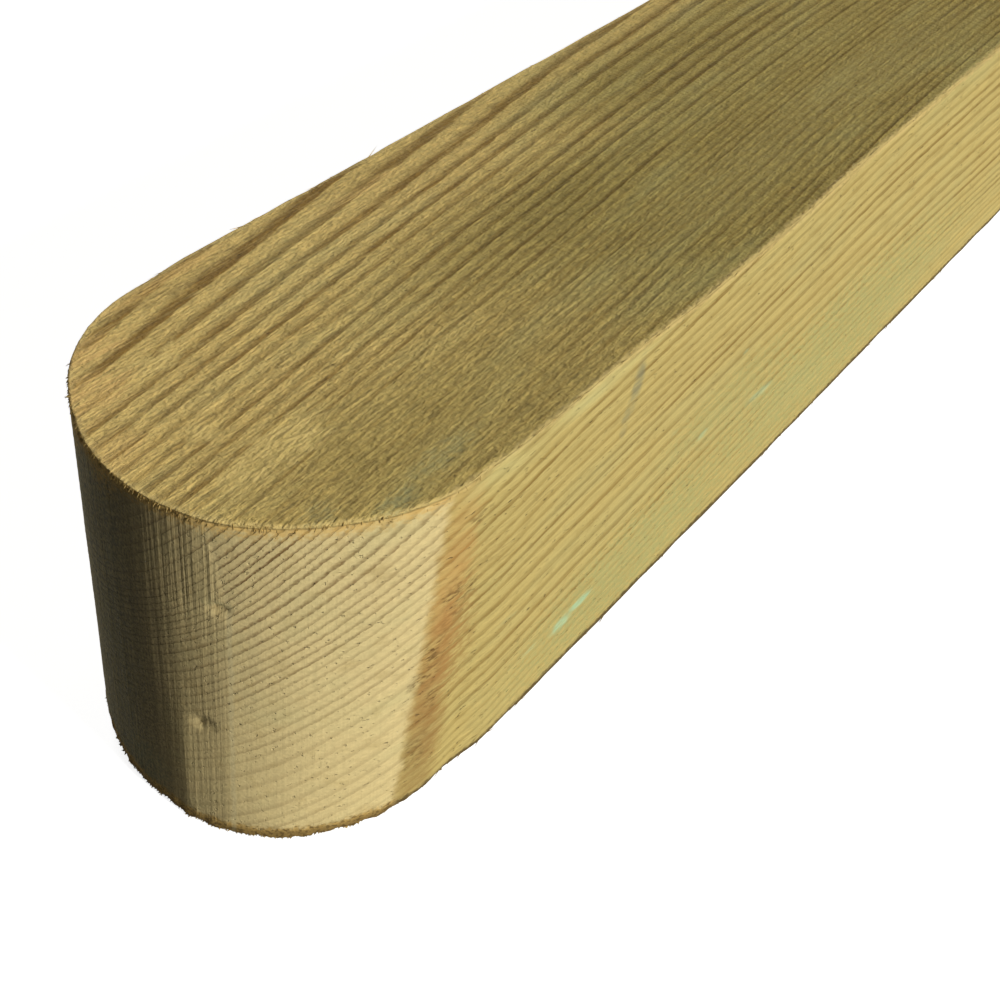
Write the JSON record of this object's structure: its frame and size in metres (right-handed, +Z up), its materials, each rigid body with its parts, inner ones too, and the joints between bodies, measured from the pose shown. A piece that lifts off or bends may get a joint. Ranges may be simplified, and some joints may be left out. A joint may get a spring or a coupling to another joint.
{
  "type": "timber post",
  "caption": "Square sawn softwood post in one piece, green-brown preservative treated, with one end cut to a half-round and the other sawn square.",
  "frame": {"origin": "middle of the underside's bounding box, on the floor that the post lies on", "axes": "X along the post's length, the half-round head towards -X and the square-cut foot towards +X; Y across its width; +Z up, as it lies"},
  "size_m": [1.1999, 0.1, 0.1],
  "materials": {
    "treated_softwood": "sawn, pressure treated, unpainted, matt"
  },
  "bodies": {
    "root": {"timber_post": "treated_softwood"}
  },
  "joints": []
}
